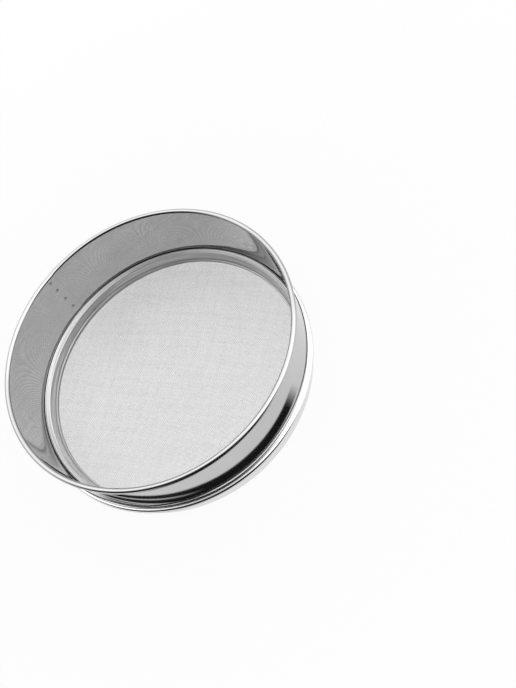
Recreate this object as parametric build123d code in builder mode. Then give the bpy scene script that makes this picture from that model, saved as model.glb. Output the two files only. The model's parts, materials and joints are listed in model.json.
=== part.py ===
from build123d import *
import os

# Laboratory test sieve: rolled-rim frame, nesting skirt and a clamped woven wire cloth.
# Millimetres. The origin is the centre of the base, and +Z points up through the open top.

# ---- driving dimensions ----------------------------------------------------------------

bore_radius = 100.0  # inside of the upper frame, which takes the skirt of the sieve above
wall_sheet = 0.8  # sheet of the upper frame
wall_height = 46.2  # from the foot of the wall to the crown of the rolled rim
rim_roll_radius = 1.9  # outside radius of the roll at the rim
rim_roll_turn = 295.0  # degrees that the sheet is rolled through

frame_sheet = 0.5  # sheet of the lower frame
nesting_clearance = 0.25  # radial gap between the skirt and the bore it nests in
skirt_length = 13.3  # from the base to the underside of the shoulder
skirt_bend = 0.25  # outside radius of the bend from the shoulder into the skirt
hem_width = 3.0  # width of the skirt's turned-in bottom edge
hem_bend = 0.8  # outside radius of the bottom edge's bend
collar_clearance = 0.05  # radial gap between the collar and the wall that it grips
collar_height = 9.3  # from the underside of the shoulder to the collar's top edge
collar_edge_round = 0.25  # rounding of the collar's top edge
bead_height = 3.7  # height of the bead around the shoulder
bead_round = 1.8  # outside radius of the bead
bead_root_round = 0.4  # radius where the collar turns out into the bead

cloth_thickness = 0.6  # woven cloth, over its warp and weft ridges
cloth_web = 0.2  # the wall between the warp ridges above and the weft ridges below
cloth_top_height = 6.1  # from the base to the top of the cloth
cells_across = 12  # open cells across the sieving area, both ways
ridge_width = 2.6  # width of one ridge
gap_margin = 0.1  # wall left between a gap and the ridges round it

ring_sheet = 0.6  # sheet of the two rings that hold the cloth
ring_clearance = 0.05  # radial gap between the rings and the skirt
ring_land = 5.9  # from the outside of the rings in to the edge of the sieving area
clamp_height = 7.5  # from the cloth to the outer edge of the clamp ring
clamp_shoulder_width = 2.5  # width of the clamp ring's shoulder, from its edge to the slope
clamp_shoulder_drop = 1.2  # fall of the shoulder over that width
clamp_crest_round = 0.9  # outside radius from the shoulder into the slope
clamp_foot_width = 1.2  # width of the clamp ring's flat inner foot
clamp_foot_round = 0.5  # radius where the slope meets the foot
support_bend = 1.1  # outside radius of the support ring's bend

# ---- sizes that follow -----------------------------------------------------------------

wall_outer_radius = bore_radius + wall_sheet
wall_foot_height = skirt_length + frame_sheet
total_height = wall_foot_height + wall_height

skirt_outer_radius = bore_radius - nesting_clearance
skirt_inner_radius = skirt_outer_radius - frame_sheet
collar_outer_radius = wall_outer_radius + collar_clearance + frame_sheet
bead_outer_radius = collar_outer_radius + bead_root_round + bead_round

ring_outer_radius = skirt_inner_radius - ring_clearance
ring_inner_radius = ring_outer_radius - ring_land
cloth_bottom_height = cloth_top_height - cloth_thickness
support_leg_chamfer = hem_bend - frame_sheet + ring_clearance
clamp_top_height = cloth_top_height + clamp_height

os.makedirs("parts", exist_ok=True)


# ---- upper frame: one sheet, rolled into a hoop, with its rim rolled outwards --------------

wall_middle = bore_radius + wall_sheet / 2
roll_middle = rim_roll_radius - wall_sheet / 2
roll_centre_height = total_height - rim_roll_radius

with BuildPart() as upper_frame:
    with BuildSketch(Plane.XZ):
        with BuildLine():
            Line((wall_middle, wall_foot_height), (wall_middle, roll_centre_height))
            CenterArc((wall_middle + roll_middle, roll_centre_height), roll_middle, 180, -rim_roll_turn)
        trace(line_width=wall_sheet)
    revolve(axis=Axis.Z)

# ---- lower frame: collar round the wall, bead, shoulder, nesting skirt and hem -------------

half_frame = frame_sheet / 2

with BuildPart() as lower_frame:
    with BuildSketch(Plane.XZ):
        with BuildLine():
            FilletPolyline(
                (collar_outer_radius - half_frame, skirt_length + collar_height),
                (collar_outer_radius - half_frame, skirt_length + bead_height - half_frame),
                (bead_outer_radius - half_frame, skirt_length + bead_height - half_frame),
                (bead_outer_radius - half_frame, skirt_length + half_frame),
                (skirt_outer_radius - half_frame, skirt_length + half_frame),
                (skirt_outer_radius - half_frame, half_frame),
                (skirt_outer_radius - hem_width, half_frame),
                radius=[
                    bead_root_round + half_frame,
                    bead_round - half_frame,
                    bead_round - half_frame,
                    skirt_bend + half_frame,
                    hem_bend - half_frame,
                ],
            )
        trace(line_width=frame_sheet)
    revolve(axis=Axis.Z)
    collar_edge = lower_frame.edges().filter_by(GeomType.CIRCLE).group_by(Axis.Z)[-1]
    fillet(collar_edge.sort_by(SortBy.RADIUS)[-1], collar_edge_round)

# ---- support ring: an angle ring that stands on the hem, under the edge of the cloth -------

half_ring = ring_sheet / 2

with BuildPart() as support_ring:
    with BuildSketch(Plane.XZ):
        with BuildLine():
            FilletPolyline(
                (ring_outer_radius - half_ring, frame_sheet),
                (ring_outer_radius - half_ring, cloth_bottom_height - half_ring),
                (ring_inner_radius, cloth_bottom_height - half_ring),
                radius=support_bend - half_ring,
            )
        trace(line_width=ring_sheet)
    revolve(axis=Axis.Z)
    leg_edges = support_ring.edges().filter_by(GeomType.CIRCLE).group_by(Axis.Z)[0]
    chamfer(leg_edges.sort_by(SortBy.RADIUS)[-1], support_leg_chamfer)

# ---- clamp ring: shallow shoulder under the wall, slope down to a flat foot on the cloth ---

clamp_edge_radius = ring_outer_radius - half_ring / 2
clamp_edge_height = clamp_top_height - half_ring

with BuildPart() as clamp_ring:
    with BuildSketch(Plane.XZ):
        with BuildLine():
            FilletPolyline(
                (clamp_edge_radius, clamp_edge_height),
                (clamp_edge_radius - clamp_shoulder_width, clamp_edge_height - clamp_shoulder_drop),
                (ring_inner_radius + clamp_foot_width, cloth_top_height + half_ring),
                (ring_inner_radius, cloth_top_height + half_ring),
                radius=[clamp_crest_round - half_ring, clamp_foot_round + half_ring],
            )
        trace(line_width=ring_sheet)
    revolve(axis=Axis.Z)

# ---- sieve cloth: warp ridges above, weft ridges below, and a gap in every cell between them

field_radius = ring_inner_radius
ridge_height = (cloth_thickness - cloth_web) / 2
ridge_pitch = 2 * field_radius / cells_across
ridges_each_way = cells_across - 1
gap_side = ridge_pitch - ridge_width - 2 * gap_margin
gap_reach = field_radius + ridge_width

with BuildPart() as sieve_cloth:
    with BuildSketch(Plane.XY.offset(cloth_bottom_height)):
        Circle(ring_outer_radius)
    extrude(amount=cloth_thickness)
    with BuildSketch(Plane.XY.offset(cloth_top_height)) as warp:
        Circle(field_radius)
        with GridLocations(ridge_pitch, 0, ridges_each_way, 1):
            Rectangle(ridge_width, 2 * field_radius, mode=Mode.SUBTRACT)
    extrude(warp.sketch, amount=-ridge_height, mode=Mode.SUBTRACT)
    with BuildSketch(Plane.XY.offset(cloth_bottom_height)) as weft:
        Circle(field_radius)
        with GridLocations(0, ridge_pitch, 1, ridges_each_way):
            Rectangle(2 * field_radius, ridge_width, mode=Mode.SUBTRACT)
    extrude(weft.sketch, amount=ridge_height, mode=Mode.SUBTRACT)
    with BuildSketch(Plane.XY.offset(cloth_bottom_height)) as gaps:
        with GridLocations(ridge_pitch, ridge_pitch, cells_across, cells_across) as cells:
            inside = [cell for cell in cells.locations if cell.position.length < gap_reach]
        with Locations(*inside):
            Rectangle(gap_side, gap_side)
        Circle(field_radius - gap_margin, mode=Mode.INTERSECT)
    extrude(gaps.sketch, amount=cloth_thickness, mode=Mode.SUBTRACT)

# ---- the pieces, one file each ---------------------------------------------------------

upper_frame.part.label = "upper_frame"
export_step(upper_frame.part, "parts/upper_frame.step")

lower_frame.part.label = "lower_frame"
export_step(lower_frame.part, "parts/lower_frame.step")

support_ring.part.label = "support_ring"
export_step(support_ring.part, "parts/support_ring.step")

clamp_ring.part.label = "clamp_ring"
export_step(clamp_ring.part, "parts/clamp_ring.step")

sieve_cloth.part.label = "sieve_cloth"
export_step(sieve_cloth.part, "parts/sieve_cloth.step")
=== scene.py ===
import json
import math

import bpy
import numpy as np
from mathutils import Matrix, Vector

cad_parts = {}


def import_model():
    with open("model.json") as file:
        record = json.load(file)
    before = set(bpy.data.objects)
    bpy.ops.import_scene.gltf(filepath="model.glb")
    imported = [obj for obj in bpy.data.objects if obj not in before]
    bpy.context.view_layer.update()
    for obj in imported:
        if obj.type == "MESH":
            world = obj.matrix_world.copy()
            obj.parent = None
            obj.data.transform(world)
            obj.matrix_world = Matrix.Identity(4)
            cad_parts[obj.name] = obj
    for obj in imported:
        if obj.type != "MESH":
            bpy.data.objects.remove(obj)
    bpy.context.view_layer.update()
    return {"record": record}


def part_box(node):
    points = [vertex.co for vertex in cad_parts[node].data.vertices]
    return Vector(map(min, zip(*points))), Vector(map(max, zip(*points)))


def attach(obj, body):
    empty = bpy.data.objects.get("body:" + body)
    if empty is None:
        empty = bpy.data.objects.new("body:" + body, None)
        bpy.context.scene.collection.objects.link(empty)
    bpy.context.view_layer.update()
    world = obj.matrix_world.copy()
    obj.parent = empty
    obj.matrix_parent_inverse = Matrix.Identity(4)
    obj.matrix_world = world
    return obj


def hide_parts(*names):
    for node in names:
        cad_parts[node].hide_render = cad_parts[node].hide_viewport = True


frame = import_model()

# Metres. The sieve stands on its base at z = 0, with its axis on Z and its open top upwards.

MM = 0.001
BODY = "root"

# ---- sizes read from the frame -----------------------------------------------------------

wall_low, wall_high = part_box("upper_frame")
collar_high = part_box("lower_frame")[1]
clamp_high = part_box("clamp_ring")[1]
support_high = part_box("support_ring")[1]
cloth_low, cloth_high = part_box("sieve_cloth")
MOUNTS = {mount["name"]: mount for mount in frame["record"]["mounts"]}

BORE = MOUNTS["top_socket"]["dims"]["r_mm"] * MM
SKIRT = MOUNTS["skirt"]["dims"]["r_mm"] * MM
WALL_FOOT = wall_low.z
TOP = wall_high.z
COLLAR_TOP = collar_high.z
CLAMP_TOP = clamp_high.z
SUPPORT_TOP = support_high.z
CLOTH_TOP = cloth_high.z
CLOTH_BOTTOM = cloth_low.z
CLOTH_MIDDLE = (CLOTH_TOP + CLOTH_BOTTOM) / 2

# ---- sizes of the sheet and its bends ----------------------------------------------------

WALL_SHEET = 0.8 * MM
ROLL_RADIUS = 1.9 * MM
ROLL_TURN = 295.0  # degrees that the rim is rolled through

FRAME_SHEET = 0.5 * MM
COLLAR_CLEARANCE = 0.05 * MM
COLLAR_TRIM = 0.8 * MM  # how far the collar's cut edge stands below its solid
BEAD_HEIGHT = 3.7 * MM
BEAD_ROUND = 1.8 * MM
BEAD_ROOT = 0.4 * MM
SKIRT_BEND = 0.25 * MM
HEM_BEND = 0.8 * MM
HEM_WIDTH = 3.0 * MM

RING_SHEET = 0.6 * MM
RING_CLEARANCE = 0.05 * MM
RING_LAND = 5.9 * MM
RING_OUTER = SKIRT - FRAME_SHEET - RING_CLEARANCE
RING_INNER = RING_OUTER - RING_LAND
CLAMP_SHOULDER_WIDTH = 2.5 * MM
CLAMP_SHOULDER_DROP = 1.2 * MM
CLAMP_CREST_ROUND = 0.9 * MM
CLAMP_FOOT_WIDTH = 1.2 * MM
CLAMP_FOOT_ROUND = 0.5 * MM
SUPPORT_BEND = 1.1 * MM

EDGE_ROUND = 0.1 * MM  # how far the cut edges of the sheet are rounded

SEGMENTS = 480  # faces round the axis
BEND_STEP = 6.0  # degrees between the points round a bend
EDGE_POINTS = 5  # points round a cut edge
LEAST_STEP = 0.001 * MM  # points of a section that are closer than this are one point

# ---- seam and spot welds of the wall -----------------------------------------------------

SEAM_AZIMUTH = 242.0  # where the wall's sheet laps, in degrees round Z
SEAM_STEP = 0.45 * MM  # how far the lap stands inwards
SEAM_FADE = 9.0  # degrees over which the lap runs out
SEAM_LINE = 0.09 * MM  # half the width of the lap's edge
SEAM_EASE = (1.6, 0.6)  # where the edge's line ends and where it is full, in half widths

WELD_AZIMUTH = 245.25
WELD_DEPTHS = [depth * MM for depth in (4.2, 13.8, 25.7, 37.0)]  # of the spot welds, below the rim
WELD_RADIUS = 0.9 * MM
WELD_SHIFT = 0.15  # degrees from the middle of a weld's mark to its clear part
WELD_CLEAR = (0.2, 1.1)  # where a weld's mark starts and where it is full, in radii
WELD_REACH = (1.7, 0.9)  # where the mark ends and where it is still full, in radii
WELD_DENT = 0.03 * MM

# ---- cloth -------------------------------------------------------------------------------

WIRE_PITCH = 0.8 * MM
WIRE_DIAMETER = 0.22 * MM
WIRE_SIDES = 3  # of a wire's section
WIRE_DRIFT = 0.06 * MM  # how far a wire strays from its place in the weave
WIRE_STRAY = 900.0  # how often the straying changes, across the wires, per metre
WIRE_STRAY_ALONG = 0.05  # share of that along the wires

# ---- finishes, with painted light and shade ----------------------------------------------

# A mark takes the steel down to its shade, and its share says how much of it shows.
WELD_SHARE, WELD_SHADE = 0.95, 0.06
SEAM_SHARE, SEAM_SHADE = 0.3, 0.08

GROOVE_SIDE = (0.5 * MM, 0.35 * MM)  # where the painted shade in the groove ends and is full, to either side of the bore
GROOVE_RISE = 2.0 * MM  # height over which the painted shade in the groove comes in, from the top of the cloth
# The groove's near black is painted shade: the dark of the narrow groove below the wall's foot.
GROOVE_PAINTED_SHADE = 0.005
SKIRT_START = (0.6 * MM, 1.2 * MM)  # where the skirt's shade starts and is full, below the wall
SKIRT_SHADE = 0.72
COLLAR_EDGE = (0.15 * MM, 0.05 * MM)  # the same for the collar's cut edge, below its top
COLLAR_EDGE_SHADE = 0.2

CREST_EASE = (0.2 * MM, -0.4 * MM)  # where the painted light on the clamp ring's slope starts and is full, from its crest, outwards and inwards
SLOPE_PAINTED_LIGHT = 0.95
FOOT_EASE = 0.5 * MM  # where the painted shade on the clamp ring's foot ends, from the edge of its foot, outwards
FOOT_PAINTED_SHADE = 0.62
RIM_EASE = (1.2 * MM, 0.6 * MM)  # where the painted shade along the clamp ring's outer edge ends and is full, in from that edge
RIM_PAINTED_SHADE = 0.6
TURNED_SHARE, TURNED_SHADE = 0.6, 0.2

ROLLED_FINENESS = 4000.0  # how often rolling lines change across them, per metre
TURNED_FINENESS = 800.0  # the same for the clamp ring's turned lines
LINE_CHANGE = 25.0  # how often lines change along them, per metre
LINE_RADIUS = 1.37  # how much faster lines change with the radius than with the height
NOISE_ENDS = (0.3, 0.7)  # nearly all of a noise lies between these
CLOUDS = (0.96, 1.04)  # darkest and palest clouds in polished steel, as shares of its shade
ROUGH_LINES = (0.7, 1.3)  # smoothest and roughest lines, as shares of its roughness

WIRE_HIGHLIGHT_EASE = (0.15, 0.6)  # where a wire's painted shade in a trough gives way to its painted highlight on a crest, above the cloth's middle, in wire diameters
WIRE_PATCHES = (0.8, 1.2)  # darkest and palest patches of the cloth, as shares of its shade
WIRE_ROUGHNESS = (0.28, 0.4)

# ---- camera ------------------------------------------------------------------------------

CAMERA_PLACE = Vector((0.1934, 0.2569, 0.4698))
CAMERA_AIM = Vector((-0.0289, 0.0550, 0.0))
CAMERA_ROLL = 34.34  # degrees
CAMERA_LENS = 41.22  # millimetres

# ---- light -------------------------------------------------------------------------------

FLOOR_HALF = 3.0  # half the floor's side
FLOOR_WHITE = 0.86
FLOOR_GLOW = 0.94  # share of the floor's own white in what is seen, near the sieve
FLOOR_FADE = (0.13, 0.5)  # how far out that share rises to the whole, which hides the horizon
WORLD_LIGHT = 0.6  # strength of the light that falls on the floor from all round
MATT_ROUGHNESS = 0.9

# What polished metal sees. A patch of the room is its angle round Z, its height above the horizon,
# and how far from there it is full and how far it reaches, all in degrees.
WALL_GLOW = 0.85
CEILING_GLOW = 1.85
CEILING_EASE = (20.0, 60.0)  # heights above the horizon from the wall's glow to the ceiling's
WINDOW = (102.0, 35.0, 20.0, 50.0)
WINDOW_GLOW = 0.8
DARK_SIDE = (2.0, 25.0, 32.0, 64.0)
DARK_FRONT = (55.0, 12.0, 20.0, 45.0)
DARK_SHARE = 0.97  # of the room's light that the dark patches take away

# Painted shadows on the floor, which only the polished metal sees: a ring near the sieve, and a
# sector further out.
SHADOW_INNER = 104.5 * MM
SHADOW_OUTER = 1.5
SHADOW_LIFT = 0.2 * MM  # above the floor
SHADOW_STEPS = 96  # faces round the axis
SHADOW_BLACK = 0.02
SHADOW_EASE = 0.7 * MM
SHADOW_RING_START = (107.0 * MM, 111.3 * MM)  # nearest and furthest out
SHADOW_RING_END = 117.6 * MM
SHADOW_START_AHEAD = 62.0  # the angle round Z where the ring starts furthest out
SHADOW_START_EASE = (60.0, 10.0)  # degrees from there where it starts nearest and furthest out
SHADOW_RING_SIDE = (32.0, 0.0, 45.0, 58.0)
SHADOW_GAP_PITCH = 4.2 * MM  # of the pale gaps in one end of the ring
SHADOW_GAP_EASE = (0.2, 1.0)  # of the wave that makes the gaps, from no gap to its middle
SHADOW_GAP_SHARE = 0.6  # of the mat that a gap takes away
SHADOW_GAP_SIDE = (-12.0, 0.0, 14.0, 42.0)
SHADOW_FAR = (140.0 * MM, 170.0 * MM)
SHADOW_FAR_SIDE = (39.0, 0.0, 22.0, 42.0)


# ---- sheet metal turned round the axis ---------------------------------------------------


def side(ahead):
    """The direction to the left of the way along a section."""
    return Vector((-ahead.y, ahead.x))


def bend(centre, radius, start, turn):
    """Points round a bend, as (r, z) with the direction of travel. Angles in degrees."""
    steps = max(2, math.ceil(abs(turn) / BEND_STEP))
    points = []
    for step in range(steps + 1):
        angle = math.radians(start + turn * step / steps)
        out = Vector((math.cos(angle), math.sin(angle)))
        ahead = side(out) if turn > 0 else -side(out)
        points.append((centre + out * radius, ahead))
    return points


def bent_strip(corners, radii):
    """The middle line of a sheet: straight runs between corners, joined by bends."""
    corners = [Vector(corner) for corner in corners]
    first = (corners[1] - corners[0]).normalized()
    path = [(corners[0] + first * EDGE_ROUND, first)]
    for before, corner, after, radius in zip(corners, corners[1:], corners[2:], radii):
        ahead_in = (corner - before).normalized()
        ahead_out = (after - corner).normalized()
        turn = math.atan2(ahead_in.cross(ahead_out), ahead_in.dot(ahead_out))
        begin = corner - ahead_in * radius * abs(math.tan(turn / 2))
        to_centre = side(ahead_in) * math.copysign(1, turn)
        centre = begin + to_centre * radius
        start = math.degrees(math.atan2(-to_centre.y, -to_centre.x))
        path += bend(centre, radius, start, math.degrees(turn))
    last = (corners[-1] - corners[-2]).normalized()
    path.append((corners[-1] - last * EDGE_ROUND, last))
    apart = [
        point for before, point in zip(path, path[1:]) if (point[0] - before[0]).length > LEAST_STEP
    ]
    return [path[0]] + apart


def cut_edge(end, ahead, half):
    """Points round the cut edge of a sheet, from its right side to its left."""
    points = []
    across = side(ahead)
    for step in range(1, EDGE_POINTS):
        angle = math.pi * (step / EDGE_POINTS - 0.5)
        point = end + across * half * math.sin(angle) + ahead * EDGE_ROUND * math.cos(angle)
        normal = across * math.sin(angle) / half + ahead * math.cos(angle) / EDGE_ROUND
        points.append((point, normal.normalized()))
    return points


def sheet_outline(path, sheet):
    """The closed section of a sheet round its middle line, as (r, z) with normals."""
    half = sheet / 2
    outline = [(point - side(ahead) * half, -side(ahead)) for point, ahead in path]
    outline += cut_edge(path[-1][0], path[-1][1], half)
    outline += [(point + side(ahead) * half, side(ahead)) for point, ahead in reversed(path)]
    outline += cut_edge(path[0][0], -path[0][1], half)
    return outline


def seam_lap(angles):
    """How far the wall stands inwards at those angles: a step at the seam, running out beyond."""
    beyond = (np.degrees(angles) - SEAM_AZIMUTH) % 360
    return SEAM_STEP * np.clip(1 - beyond / SEAM_FADE, 0, 1)


def around(section, angles):
    """(r, z) pairs taken round the axis, as points."""
    ring = np.empty((len(angles), len(section), 3))
    ring[..., 0] = np.cos(angles)[:, None] * section[:, 0]
    ring[..., 1] = np.sin(angles)[:, None] * section[:, 0]
    ring[..., 2] = section[:, 1]
    return ring.reshape(-1, 3)


def turned(name, outline, material, inwards=None):
    """A ring with that section and its true normals, moved inwards at each angle if asked."""
    count = len(outline)
    angles = np.arange(SEGMENTS) * 2 * math.pi / SEGMENTS
    section = np.array([point[:] for point, normal in outline])
    facing = np.array([normal[:] for point, normal in outline])
    points = around(section, angles)
    if inwards is not None:
        points[:, :2] *= 1 - np.repeat(inwards(angles), count)[:, None] / BORE
    normals = around(facing, angles)
    here = np.arange(SEGMENTS * count).reshape(SEGMENTS, count)
    ahead = np.roll(here, -1, axis=0)
    up, ahead_up = np.roll(here, -1, axis=1), np.roll(ahead, -1, axis=1)
    faces = np.stack([here, ahead, ahead_up, up], axis=-1).reshape(-1, 4)
    mesh = bpy.data.meshes.new(name)
    mesh.from_pydata(points.tolist(), [], faces.tolist())
    mesh.shade_smooth()
    mesh.normals_split_custom_set_from_vertices(normals.tolist())
    return finished(name, mesh, material)


def placed(name, data):
    """A new object in the scene."""
    made = bpy.data.objects.new(name, data)
    bpy.context.scene.collection.objects.link(made)
    return made


def finished(name, mesh, material):
    """Puts a mesh in the scene as a piece of the sieve."""
    piece = placed(name, mesh)
    piece.data.materials.clear()
    piece.data.materials.append(material)
    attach(piece, BODY)
    return piece


# ---- node trees --------------------------------------------------------------------------


def connect(tree, socket, value):
    """Gives an input a value, or links another node's output to it."""
    if isinstance(value, bpy.types.NodeSocket):
        tree.links.new(value, socket)
    else:
        socket.default_value = value


def input_index(made, key):
    """The index of a node's input, from a key such as in_0 or base_color."""
    if key.startswith("in_"):
        return int(key[3:])
    words = key.replace("_", " ").lower()
    return next(
        i for i, socket in enumerate(made.inputs) if socket.name.lower() == words and socket.enabled
    )


def node(tree, kind, settings=None, **inputs):
    """A node with its settings and inputs, where an input is a value or another node's output."""
    made = tree.nodes.new(kind)
    for key, value in (settings or {}).items():
        setattr(made, key, value)
    for key, value in inputs.items():
        connect(tree, made.inputs[input_index(made, key)], value)
    return made


def operated(tree, kind, operation, values):
    """The outputs of a node that does one operation on its values, in their order."""
    made = tree.nodes.new(kind)
    made.operation = operation
    for socket, value in zip(made.inputs, values):
        connect(tree, socket, value)
    return made.outputs


def math_node(tree, operation, *values):
    return operated(tree, "ShaderNodeMath", operation, values)[0]


def vector_node(tree, operation, *values, output=0):
    return operated(tree, "ShaderNodeVectorMath", operation, values)[output]


def product(tree, first, *others):
    for other in others:
        first = math_node(tree, "MULTIPLY", first, other)
    return first


def eased(tree, value, low, high, start=0.0, end=1.0):
    """A value that eases from start to end as the input goes from low to high."""
    return node(
        tree,
        "ShaderNodeMapRange",
        {"interpolation_type": "SMOOTHSTEP"},
        value=value,
        from_min=low,
        from_max=high,
        to_min=start,
        to_max=end,
    ).outputs[0]


def ranged(tree, value, low, high):
    """A noise value spread between two ends."""
    least, most = NOISE_ENDS
    return node(
        tree,
        "ShaderNodeMapRange",
        value=value,
        from_min=least,
        from_max=most,
        to_min=low,
        to_max=high,
    ).outputs[0]


def cosine(degrees):
    return math.cos(math.radians(degrees))


def towards(azimuth, height):
    """A direction from an angle round Z and a height above the horizon, both in degrees."""
    turn, lift = math.radians(azimuth), math.radians(height)
    level = math.cos(lift)
    return Vector((level * math.cos(turn), level * math.sin(turn), math.sin(lift)))


def patch(tree, ahead, azimuth, height, inner, outer):
    """1 within so many degrees of a direction, easing to 0 further out."""
    near = vector_node(tree, "DOT_PRODUCT", ahead, towards(azimuth, height), output=1)
    return eased(tree, near, cosine(outer), cosine(inner))


def own_place(tree):
    """A place in the object's own coordinates, which are the sieve's."""
    return tree.nodes.new("ShaderNodeTexCoord").outputs["Object"]


def place_and_radius(tree):
    """The coordinates of a place on the sieve, and its distance from the axis."""
    x, y, height = node(tree, "ShaderNodeSeparateXYZ", in_0=own_place(tree)).outputs
    flat = node(tree, "ShaderNodeCombineXYZ", in_0=x, in_1=y).outputs[0]
    return x, y, height, vector_node(tree, "LENGTH", flat, output=1)


# ---- finishes of the sheet, with painted light and shade ---------------------------------


def new_material(name):
    material = bpy.data.materials.new(name)
    material.use_nodes = True
    tree = material.node_tree
    tree.nodes.clear()
    shader = tree.nodes.new("ShaderNodeBsdfPrincipled")
    output = tree.nodes.new("ShaderNodeOutputMaterial")
    tree.links.new(shader.outputs["BSDF"], output.inputs["Surface"])
    return material, tree, shader


def grey(tree, value):
    return node(tree, "ShaderNodeCombineColor", in_0=value, in_1=value, in_2=value).outputs[0]


def darkened(tree, shader, share, shade):
    """Takes the shader's colour down to a shade where the share is 1."""
    colour = shader.inputs["Base Color"].links[0].from_socket
    mixed = node(
        tree,
        "ShaderNodeMix",
        {"data_type": "RGBA"},
        in_0=share,
        in_6=colour,
        in_7=(shade, shade, shade, 1),
    )
    tree.links.new(mixed.outputs[2], shader.inputs["Base Color"])


def drawn_lines(tree, fineness):
    """Noise drawn out round the axis, as rolling and polishing leave it on a turned sheet."""
    x, y, height, radius = place_and_radius(tree)
    across = math_node(tree, "MULTIPLY_ADD", radius, LINE_RADIUS, height)
    drawn = node(
        tree,
        "ShaderNodeCombineXYZ",
        in_0=product(tree, x, LINE_CHANGE),
        in_1=product(tree, y, LINE_CHANGE),
        in_2=product(tree, across, fineness),
    )
    place = drawn.outputs[0]
    return node(tree, "ShaderNodeTexNoise", vector=place, scale=1.0, detail=3.0).outputs[0]


def nearest_weld(tree, place, azimuth):
    """How far a place is from a column of points on the wall, one at the height of each weld."""
    angle = math.radians(azimuth)
    nearest = 1.0
    for depth in WELD_DEPTHS:
        centre = (BORE * math.cos(angle), BORE * math.sin(angle), TOP - depth)
        distance = vector_node(tree, "DISTANCE", place, centre, output=1)
        nearest = math_node(tree, "MINIMUM", nearest, distance)
    return nearest


def weld_marks(tree, place):
    """1 on the crescent round each spot weld of the wall's seam."""
    bare = nearest_weld(tree, place, WELD_AZIMUTH + WELD_SHIFT)
    reach = nearest_weld(tree, place, WELD_AZIMUTH)
    inside = eased(tree, bare, *[WELD_RADIUS * share for share in WELD_CLEAR])
    outside = eased(tree, reach, *[WELD_RADIUS * share for share in WELD_REACH])
    return product(tree, inside, outside)


def seam_line(tree, place):
    """1 along the edge of the wall's lap."""
    angle = math.radians(SEAM_AZIMUTH)
    out, along = (math.cos(angle), math.sin(angle), 0), (-math.sin(angle), math.cos(angle), 0)
    ahead = vector_node(tree, "DOT_PRODUCT", place, out, output=1)
    aside = vector_node(tree, "DOT_PRODUCT", place, along, output=1)
    away = math_node(tree, "ABSOLUTE", aside)
    near = eased(tree, away, *[SEAM_LINE * share for share in SEAM_EASE])
    return product(tree, near, math_node(tree, "GREATER_THAN", ahead, 0.0))


def polished_steel(name, shade, roughness, line_depth):
    """Polished stainless sheet: nearly a mirror, with faint rolling lines."""
    material, tree, shader = new_material(name)
    lines = drawn_lines(tree, ROLLED_FINENESS)
    clouds = node(
        tree, "ShaderNodeTexNoise", vector=own_place(tree), scale=30.0, detail=2.0
    ).outputs[0]
    shader.inputs["Metallic"].default_value = 1.0
    shader.inputs["Specular Tint"].default_value = (1, 1, 1, 1)
    colour = grey(tree, ranged(tree, clouds, *[shade * share for share in CLOUDS]))
    rough = ranged(tree, lines, *[roughness * share for share in ROUGH_LINES])
    relief = node(tree, "ShaderNodeBump", strength=1.0, distance=line_depth, height=lines)
    tree.links.new(colour, shader.inputs["Base Color"])
    tree.links.new(rough, shader.inputs["Roughness"])
    tree.links.new(relief.outputs[0], shader.inputs["Normal"])
    return material


def tree_and_shader(material):
    return material.node_tree, material.node_tree.nodes["Principled BSDF"]


def welded_steel(name, shade, roughness, line_depth):
    """The wall's polished sheet, with the spot welds pressed into its seam."""
    material = polished_steel(name, shade, roughness, line_depth)
    tree, shader = tree_and_shader(material)
    place = own_place(tree)
    marks = weld_marks(tree, place)
    darkened(tree, shader, product(tree, marks, WELD_SHARE), WELD_SHADE)
    darkened(tree, shader, product(tree, seam_line(tree, place), SEAM_SHARE), SEAM_SHADE)
    relief = shader.inputs["Normal"].links[0].from_node
    dent = node(tree, "ShaderNodeBump", strength=1.0, distance=WELD_DENT, height=marks)
    dent.invert = True
    tree.links.new(relief.outputs[0], dent.inputs["Normal"])
    tree.links.new(dent.outputs[0], shader.inputs["Normal"])
    return material


def skirt_steel(name, shade, roughness, line_depth):
    """The lower frame's polished sheet: painted shade in its groove, and a duller skirt and cut
    edge.
    """
    material = polished_steel(name, shade, roughness, line_depth)
    tree, shader = tree_and_shader(material)
    height, radius = place_and_radius(tree)[2:]
    risen = eased(tree, height, CLOTH_TOP, CLOTH_TOP + GROOVE_RISE)
    off_bore = math_node(tree, "ABSOLUTE", math_node(tree, "SUBTRACT", radius, BORE))
    groove = product(tree, risen, eased(tree, off_bore, *GROOVE_SIDE))
    skirt = eased(tree, height, *[WALL_FOOT - below for below in SKIRT_START])
    edge = eased(tree, height, *[COLLAR_TOP - COLLAR_TRIM - below for below in COLLAR_EDGE])
    # painted shade in the groove below the wall's foot
    darkened(tree, shader, groove, GROOVE_PAINTED_SHADE)
    darkened(tree, shader, skirt, SKIRT_SHADE)
    darkened(tree, shader, edge, COLLAR_EDGE_SHADE)
    return material


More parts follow.
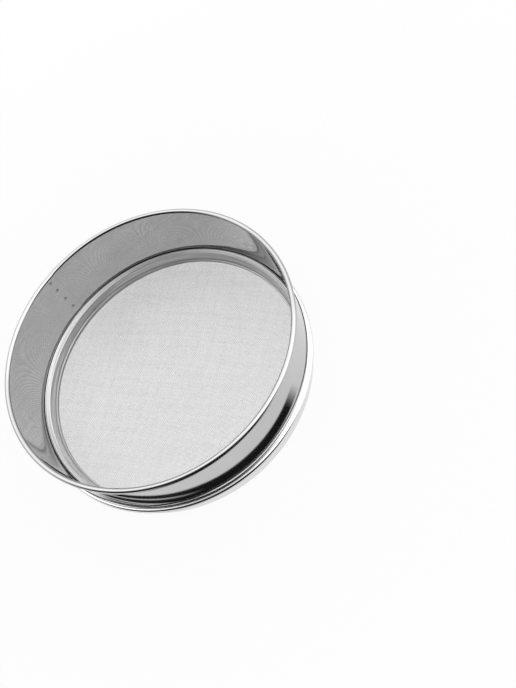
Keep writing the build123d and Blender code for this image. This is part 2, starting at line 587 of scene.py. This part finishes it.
def ring_steel(name, shade, roughness, line_depth):
    """The clamp ring's duller sheet: fine turned lines, painted light on its slope, and painted
    shade on its foot and along its outer edge.
    """
    material = polished_steel(name, shade, roughness, line_depth)
    tree, shader = tree_and_shader(material)
    radius = place_and_radius(tree)[3]
    crest = RING_OUTER - CLAMP_SHOULDER_WIDTH
    foot = RING_INNER + CLAMP_FOOT_WIDTH
    streaks = ranged(tree, drawn_lines(tree, TURNED_FINENESS), 0.0, 1.0)
    slope = eased(tree, radius, *[crest + out for out in CREST_EASE])
    rim = eased(tree, radius, *[RING_OUTER - inwards for inwards in RIM_EASE])
    # painted light: the slope is made brighter than its shoulder
    darkened(tree, shader, slope, SLOPE_PAINTED_LIGHT)
    # painted shade on the foot, which tones down its highlight
    darkened(tree, shader, eased(tree, radius, foot + FOOT_EASE, foot), FOOT_PAINTED_SHADE)
    darkened(tree, shader, product(tree, streaks, TURNED_SHARE), TURNED_SHADE)
    # painted shade along the outer edge, next to the wall
    darkened(tree, shader, rim, RIM_PAINTED_SHADE)
    return material


# ---- woven cloth -------------------------------------------------------------------------


def wire_with_painted_highlight(name, crest, trough, streaks):
    """Drawn stainless wire, with a painted highlight where it rides over the others and painted
    shade where it dips.
    """
    material, tree, shader = new_material(name)
    place = own_place(tree)
    drawn = vector_node(tree, "MULTIPLY", place, streaks)
    patches = node(tree, "ShaderNodeTexNoise", vector=drawn, scale=1.0, detail=3.0).outputs[0]
    height = node(tree, "ShaderNodeSeparateXYZ", in_0=place).outputs[2]
    ends = [CLOTH_MIDDLE + WIRE_DIAMETER * share for share in WIRE_HIGHLIGHT_EASE]
    # painted shade in the troughs and painted highlight on the crests
    shade = eased(tree, height, *ends, trough, crest)
    shade = product(tree, shade, ranged(tree, patches, *WIRE_PATCHES))
    shader.inputs["Metallic"].default_value = 1.0
    tree.links.new(grey(tree, shade), shader.inputs["Base Color"])
    tree.links.new(ranged(tree, patches, *WIRE_ROUGHNESS), shader.inputs["Roughness"])
    return material


def compared(tree, operation, first, second):
    settings = {"data_type": "FLOAT", "operation": operation}
    return node(tree, "FunctionNodeCompare", settings, in_0=first, in_1=second).outputs[0]


def without(tree, geometry, selection, domain, mode):
    """The geometry with what is selected deleted."""
    settings = {"domain": domain, "mode": mode}
    return node(
        tree, "GeometryNodeDeleteGeometry", settings, geometry=geometry, selection=selection
    ).outputs[0]


def weave_tree(material):
    """Geometry nodes for one set of parallel wires, waved over and under those of the other."""
    tree = bpy.data.node_groups.new("woven_wires", "GeometryNodeTree")
    tree.is_modifier = True
    for name, value in (
        ("Pitch", WIRE_PITCH),
        ("Wire Radius", WIRE_DIAMETER / 2),
        ("Field Radius", RING_OUTER),
        ("Height", CLOTH_TOP),
        ("Wires", 2.0),
        ("Wave", 1.0),
        ("Half", 1.0),
        ("Drift", WIRE_DRIFT),
    ):
        socket = tree.interface.new_socket(name, in_out="INPUT", socket_type="NodeSocketFloat")
        socket.default_value = value
    tree.interface.new_socket("Geometry", in_out="OUTPUT", socket_type="NodeSocketGeometry")
    given = tree.nodes.new("NodeGroupInput").outputs
    result = tree.nodes.new("NodeGroupOutput")

    # A grid, without the edges that run across the wires.
    count = math_node(tree, "MULTIPLY_ADD", given["Wires"], 2.0, 1.0)
    reach = product(tree, given["Wires"], 2.0, given["Pitch"])
    grid = node(
        tree,
        "GeometryNodeMeshGrid",
        size_x=reach,
        size_y=reach,
        vertices_x=count,
        vertices_y=count,
    )
    ends = tree.nodes.new("GeometryNodeInputMeshEdgeVertices").outputs
    step = vector_node(tree, "SUBTRACT", ends["Position 1"], ends["Position 2"])
    step_x = node(tree, "ShaderNodeSeparateXYZ", in_0=step).outputs[0]
    half_pitch = product(tree, given["Pitch"], 0.5)
    crossing = compared(tree, "GREATER_THAN", math_node(tree, "ABSOLUTE", step_x), half_pitch)
    lines = without(tree, grid.outputs["Mesh"], crossing, "EDGE", "EDGE_FACE")

    # Cut to the round field, and to one half of it.
    place = tree.nodes.new("GeometryNodeInputPosition").outputs[0]
    x, y = node(tree, "ShaderNodeSeparateXYZ", in_0=place).outputs[:2]
    off_axis = vector_node(tree, "LENGTH", place, output=1)
    outside = compared(tree, "GREATER_THAN", off_axis, given["Field Radius"])
    beyond_middle = math_node(tree, "MULTIPLY_ADD", given["Pitch"], 0.25, x)
    other_half = compared(tree, "LESS_THAN", product(tree, beyond_middle, given["Half"]), 0.0)
    dropped = node(
        tree, "FunctionNodeBooleanMath", {"operation": "OR"}, in_0=outside, in_1=other_half
    )
    trimmed = without(tree, lines, dropped.outputs[0], "POINT", "ALL")

    # Waved up and down from one crossing to the next, with a little stray to the side.
    crossings = math_node(tree, "DIVIDE", math_node(tree, "ADD", x, y), given["Pitch"])
    turn = product(tree, math_node(tree, "ROUND", crossings), math.pi)
    sign = math_node(tree, "COSINE", turn)
    wave = product(tree, sign, given["Wave"], given["Wire Radius"])
    along = vector_node(tree, "MULTIPLY", place, (WIRE_STRAY, WIRE_STRAY_ALONG * WIRE_STRAY, 1.0))
    stray = node(tree, "ShaderNodeTexNoise", vector=along, scale=1.0, detail=1.0).outputs[0]
    aside = product(tree, math_node(tree, "MULTIPLY_ADD", stray, 4.0, -2.0), given["Drift"])
    lift = math_node(tree, "ADD", wave, given["Height"])
    moved = node(tree, "ShaderNodeCombineXYZ", in_0=aside, in_2=lift)
    waved = node(tree, "GeometryNodeSetPosition", geometry=trimmed, offset=moved.outputs[0])

    # A wire along each line.
    curves = node(tree, "GeometryNodeMeshToCurve", mesh=waved.outputs[0])
    section = node(
        tree,
        "GeometryNodeCurvePrimitiveCircle",
        resolution=WIRE_SIDES,
        radius=given["Wire Radius"],
    )
    wires = node(
        tree,
        "GeometryNodeCurveToMesh",
        curve=curves.outputs[0],
        profile_curve=section.outputs[0],
        fill_caps=True,
    )
    real = node(tree, "GeometryNodeRealizeInstances", geometry=wires.outputs[0])
    smooth = node(tree, "GeometryNodeSetShadeSmooth", geometry=real.outputs[0])
    coated = node(tree, "GeometryNodeSetMaterial", geometry=smooth.outputs[0], material=material)
    tree.links.new(coated.outputs[0], result.inputs["Geometry"])
    return tree


def grown(name, tree, values):
    """The plain mesh that a tree of geometry nodes makes with those named inputs."""
    start = bpy.data.meshes.new(name)
    holder = placed(name, start)
    modifier = holder.modifiers.new(name, "NODES")
    modifier.node_group = tree
    items = tree.interface.items_tree
    sockets = {item.name: item.identifier for item in items if item.in_out == "INPUT"}
    for key, value in values.items():
        modifier[sockets[key]] = value
    bpy.context.view_layer.update()
    evaluated = holder.evaluated_get(bpy.context.evaluated_depsgraph_get())
    mesh = bpy.data.meshes.new_from_object(evaluated)
    holder.modifiers.clear()
    bpy.data.objects.remove(holder)
    bpy.data.meshes.remove(start)
    mesh.name = name
    return mesh


def woven_cloth(warp_material, weft_material):
    """Warp and weft, each in a near and a far half. The weft is turned across the warp."""
    wires = float(math.ceil(RING_OUTER / WIRE_PITCH))
    sizes = {"Wires": wires, "Height": CLOTH_MIDDLE, "Field Radius": RING_OUTER - WIRE_DIAMETER}
    for name, material, wave, turn in (
        ("warp", warp_material, 1.0, 0.0),
        ("weft", weft_material, -1.0, math.pi / 2),
    ):
        tree = weave_tree(material)
        for half, end in ((1.0, "near"), (-1.0, "far")):
            mesh = grown(f"cloth_{name}_{end}", tree, {**sizes, "Wave": wave, "Half": half})
            mesh.transform(Matrix.Rotation(turn, 4, "Z"))
            piece = finished(mesh.name, mesh, material)
            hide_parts("sieve_cloth")


# ---- the frame and the rings -------------------------------------------------------------


def upper_frame(material):
    """The wall: one sheet, lapped at its seam, with its rim rolled outwards."""
    wall_middle = BORE + WALL_SHEET / 2
    roll_middle = ROLL_RADIUS - WALL_SHEET / 2
    centre = Vector((wall_middle + roll_middle, TOP - ROLL_RADIUS))
    path = [(Vector((wall_middle, WALL_FOOT + EDGE_ROUND)), Vector((0, 1)))]
    path += bend(centre, roll_middle, 180, -ROLL_TURN)
    outline = sheet_outline(path, WALL_SHEET)
    piece = turned("upper_frame_polished", outline, material, seam_lap)
    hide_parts("upper_frame")


def lower_frame(material):
    """One sheet from the collar round the wall's foot, through the bead, to the skirt's hem."""
    half = FRAME_SHEET / 2
    collar = BORE + WALL_SHEET + COLLAR_CLEARANCE + half
    bead = collar + BEAD_ROOT + BEAD_ROUND
    skirt = SKIRT - half
    shoulder = WALL_FOOT - half
    bead_top = WALL_FOOT - FRAME_SHEET + BEAD_HEIGHT - half
    corners = [
        (collar, COLLAR_TOP - COLLAR_TRIM),
        (collar, bead_top),
        (bead, bead_top),
        (bead, shoulder),
        (skirt, shoulder),
        (skirt, half),
        (SKIRT - HEM_WIDTH, half),
    ]
    radii = [
        BEAD_ROOT + half,
        BEAD_ROUND - half,
        BEAD_ROUND - half,
        SKIRT_BEND + half,
        HEM_BEND - half,
    ]
    outline = sheet_outline(bent_strip(corners, radii), FRAME_SHEET)
    piece = turned("lower_frame_polished", outline, material)
    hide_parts("lower_frame")


def clamp_ring(material):
    """The ring that presses on the cloth's edge: shoulder, slope and flat foot."""
    half = RING_SHEET / 2
    edge = RING_OUTER - half / 2
    tilt = math.atan2(CLAMP_SHOULDER_DROP, CLAMP_SHOULDER_WIDTH)
    edge_height = CLAMP_TOP - half * math.cos(tilt)
    corners = [
        (edge, edge_height),
        (edge - CLAMP_SHOULDER_WIDTH, edge_height - CLAMP_SHOULDER_DROP),
        (RING_INNER + CLAMP_FOOT_WIDTH, CLOTH_TOP + half),
        (RING_INNER, CLOTH_TOP + half),
    ]
    radii = [CLAMP_CREST_ROUND - half, CLAMP_FOOT_ROUND + half]
    outline = sheet_outline(bent_strip(corners, radii), RING_SHEET)
    piece = turned("clamp_ring_polished", outline, material)
    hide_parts("clamp_ring")


def support_ring(material):
    """The angle ring that stands on the hem and carries the cloth's edge."""
    half = RING_SHEET / 2
    corners = [
        (RING_OUTER - half, FRAME_SHEET),
        (RING_OUTER - half, SUPPORT_TOP - half),
        (RING_INNER, SUPPORT_TOP - half),
    ]
    outline = sheet_outline(bent_strip(corners, [SUPPORT_BEND - half]), RING_SHEET)
    piece = turned("support_ring_satin", outline, material)
    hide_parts("support_ring")


# ---- stage -------------------------------------------------------------------------------


def camera():
    data = bpy.data.cameras.new("camera")
    data.lens = CAMERA_LENS
    held = placed("camera", data)
    forward = (CAMERA_AIM - CAMERA_PLACE).normalized()
    level = forward.cross(Vector((0, 0, 1))).normalized()
    turn = math.radians(CAMERA_ROLL)
    up = level.cross(forward) * math.cos(turn) + level * math.sin(turn)
    right = forward.cross(up)
    axes = Matrix((right, up, -forward)).transposed()
    held.matrix_world = Matrix.Translation(CAMERA_PLACE) @ axes.to_4x4()
    bpy.context.scene.camera = held


def ray_share(tree, *names):
    """1 for rays of those kinds, and 0 for the others."""
    rays = tree.nodes.new("ShaderNodeLightPath").outputs
    share = rays[names[0]]
    for name in names[1:]:
        share = math_node(tree, "MAXIMUM", share, rays[name])
    return share


def matt_material(name, shade):
    material, tree, shader = new_material(name)
    shader.inputs["Base Color"].default_value = (shade, shade, shade, 1)
    shader.inputs["Roughness"].default_value = MATT_ROUGHNESS
    shader.inputs["Specular IOR Level"].default_value = 0.0
    return material, tree, shader


def blended(tree, share, first, second):
    """Makes a material's surface go from the first shader to the second with the share."""
    both = node(
        tree, "ShaderNodeMixShader", in_0=share, in_1=first.outputs[0], in_2=second.outputs[0]
    )
    tree.links.new(both.outputs[0], tree.nodes["Material Output"].inputs["Surface"])


def floor():
    """A pale floor that takes shadows, and glows white further out."""
    half = FLOOR_HALF
    mesh = bpy.data.meshes.new("floor")
    corners = [(-half, -half, 0), (half, -half, 0), (half, half, 0), (-half, half, 0)]
    mesh.from_pydata(corners, [], [(0, 1, 2, 3)])
    ground = placed("floor", mesh)
    material, tree, shader = matt_material("pale_floor", FLOOR_WHITE)
    glow = node(tree, "ShaderNodeEmission", in_0=(1, 1, 1, 1), in_1=1.0)
    seen = ray_share(tree, "Is Camera Ray", "Is Glossy Ray", "Is Transmission Ray")
    radius = vector_node(tree, "LENGTH", own_place(tree), output=1)
    share = product(tree, seen, eased(tree, radius, *FLOOR_FADE, FLOOR_GLOW, 1.0))
    blended(tree, share, shader, glow)
    mesh.materials.append(material)


def world():
    """A white studio. Polished metal sees a bright ceiling and window in it, and two dark sides."""
    studio = bpy.data.worlds.new("studio")
    studio.use_nodes = True
    bpy.context.scene.world = studio
    tree = studio.node_tree
    background = tree.nodes["Background"]
    ahead = tree.nodes.new("ShaderNodeTexCoord").outputs["Generated"]
    height = node(tree, "ShaderNodeSeparateXYZ", in_0=ahead).outputs[2]
    low, high = [math.sin(math.radians(angle)) for angle in CEILING_EASE]
    room = eased(tree, height, low, high, WALL_GLOW, CEILING_GLOW)
    lit = math_node(tree, "MULTIPLY_ADD", patch(tree, ahead, *WINDOW), WINDOW_GLOW, room)
    left = [
        math_node(tree, "MULTIPLY_ADD", patch(tree, ahead, *dark), -DARK_SHARE, 1.0)
        for dark in (DARK_SIDE, DARK_FRONT)
    ]
    metal = product(tree, lit, product(tree, *left))
    plain = node(
        tree,
        "ShaderNodeMix",
        in_0=ray_share(tree, "Is Camera Ray", "Is Transmission Ray"),
        in_2=WORLD_LIGHT,
        in_3=1.0,
    )
    strength = node(
        tree,
        "ShaderNodeMix",
        in_0=ray_share(tree, "Is Glossy Ray"),
        in_2=plain.outputs[0],
        in_3=metal,
    )
    background.inputs["Color"].default_value = (1, 1, 1, 1)
    tree.links.new(strength.outputs[0], background.inputs["Strength"])


def painted_floor_shadows():
    """Painted shadows on the floor: dark patches that only the polished metal sees."""
    steps = SHADOW_STEPS
    angles = [2 * math.pi * i / steps for i in range(steps)]
    ring = [(math.cos(angle), math.sin(angle)) for angle in angles]
    points = [(x * r, y * r, SHADOW_LIFT) for r in (SHADOW_INNER, SHADOW_OUTER) for x, y in ring]
    faces = [(steps + i, steps + (i + 1) % steps, (i + 1) % steps, i) for i in range(steps)]
    mesh = bpy.data.meshes.new("painted_floor_shadows")
    mesh.from_pydata(points, [], faces)
    shadow_sheet = placed("painted_floor_shadows", mesh)
    # painted shadow: near black, seen only in reflections
    material, tree, shader = matt_material("painted_floor_shadows", SHADOW_BLACK)
    place = own_place(tree)
    radius = vector_node(tree, "LENGTH", place, output=1)
    way = vector_node(tree, "NORMALIZE", place)

    # The ring, which starts further out on one side and has pale gaps on another.
    aligned = vector_node(tree, "DOT_PRODUCT", way, towards(SHADOW_START_AHEAD, 0.0), output=1)
    start = eased(tree, aligned, *[cosine(angle) for angle in SHADOW_START_EASE], *SHADOW_RING_START)
    begun = eased(tree, radius, start, math_node(tree, "ADD", start, SHADOW_EASE))
    unended = eased(tree, radius, SHADOW_RING_END + SHADOW_EASE, SHADOW_RING_END - SHADOW_EASE)
    wave = math_node(tree, "COSINE", product(tree, radius, 2 * math.pi / SHADOW_GAP_PITCH))
    gaps = product(tree, eased(tree, wave, *SHADOW_GAP_EASE), patch(tree, way, *SHADOW_GAP_SIDE))
    kept = math_node(tree, "MULTIPLY_ADD", gaps, -SHADOW_GAP_SHARE, 1.0)
    near = product(tree, begun, unended, kept, patch(tree, way, *SHADOW_RING_SIDE))

    far = product(tree, eased(tree, radius, *SHADOW_FAR), patch(tree, way, *SHADOW_FAR_SIDE))
    clear = tree.nodes.new("ShaderNodeBsdfTransparent")
    blended(tree, math_node(tree, "MAXIMUM", near, far), clear, shader)
    mesh.materials.append(material)
    shadow_sheet.visible_camera = False
    shadow_sheet.visible_diffuse = False
    shadow_sheet.visible_shadow = False
    shadow_sheet.visible_transmission = False


def softbox(name, place, aim, size, power):
    data = bpy.data.lights.new(name, "AREA")
    data.shape = "SQUARE"
    data.size = size
    data.energy = power
    lamp = placed(name, data)
    lamp.location = place
    ahead = Vector(aim) - Vector(place)
    lamp.rotation_euler = ahead.to_track_quat("-Z", "Y").to_euler()
    lamp.visible_glossy = False


# ---- put together ------------------------------------------------------------------------

upper_frame(welded_steel("frame_steel", shade=0.5, roughness=0.05, line_depth=0.4e-6))
lower_frame(skirt_steel("skirt_steel", shade=0.82, roughness=0.05, line_depth=0.4e-6))
clamp_ring(ring_steel("ring_steel", shade=0.56, roughness=0.42, line_depth=1.5e-6))
support_ring(polished_steel("satin_steel", shade=0.48, roughness=0.3, line_depth=1.0e-6))
# The warp and the weft are the same wire: the warp's lighter grey and bright crests are painted
# light, and the weft's darker grey is painted shade.
woven_cloth(
    wire_with_painted_highlight("warp_wire", crest=1.0, trough=0.46, streaks=(260.0, 16.0, 0.0)),
    wire_with_painted_highlight("weft_wire", crest=0.4, trough=0.38, streaks=(16.0, 260.0, 0.0)),
)

floor()
world()
# painted shadows on the floor, seen only in reflections
painted_floor_shadows()
softbox("top_softbox", place=(0.1, 0.2, 1.2), aim=(0, 0, 0), size=0.8, power=4.0)
camera()
bpy.context.scene.view_settings.view_transform = "Standard"
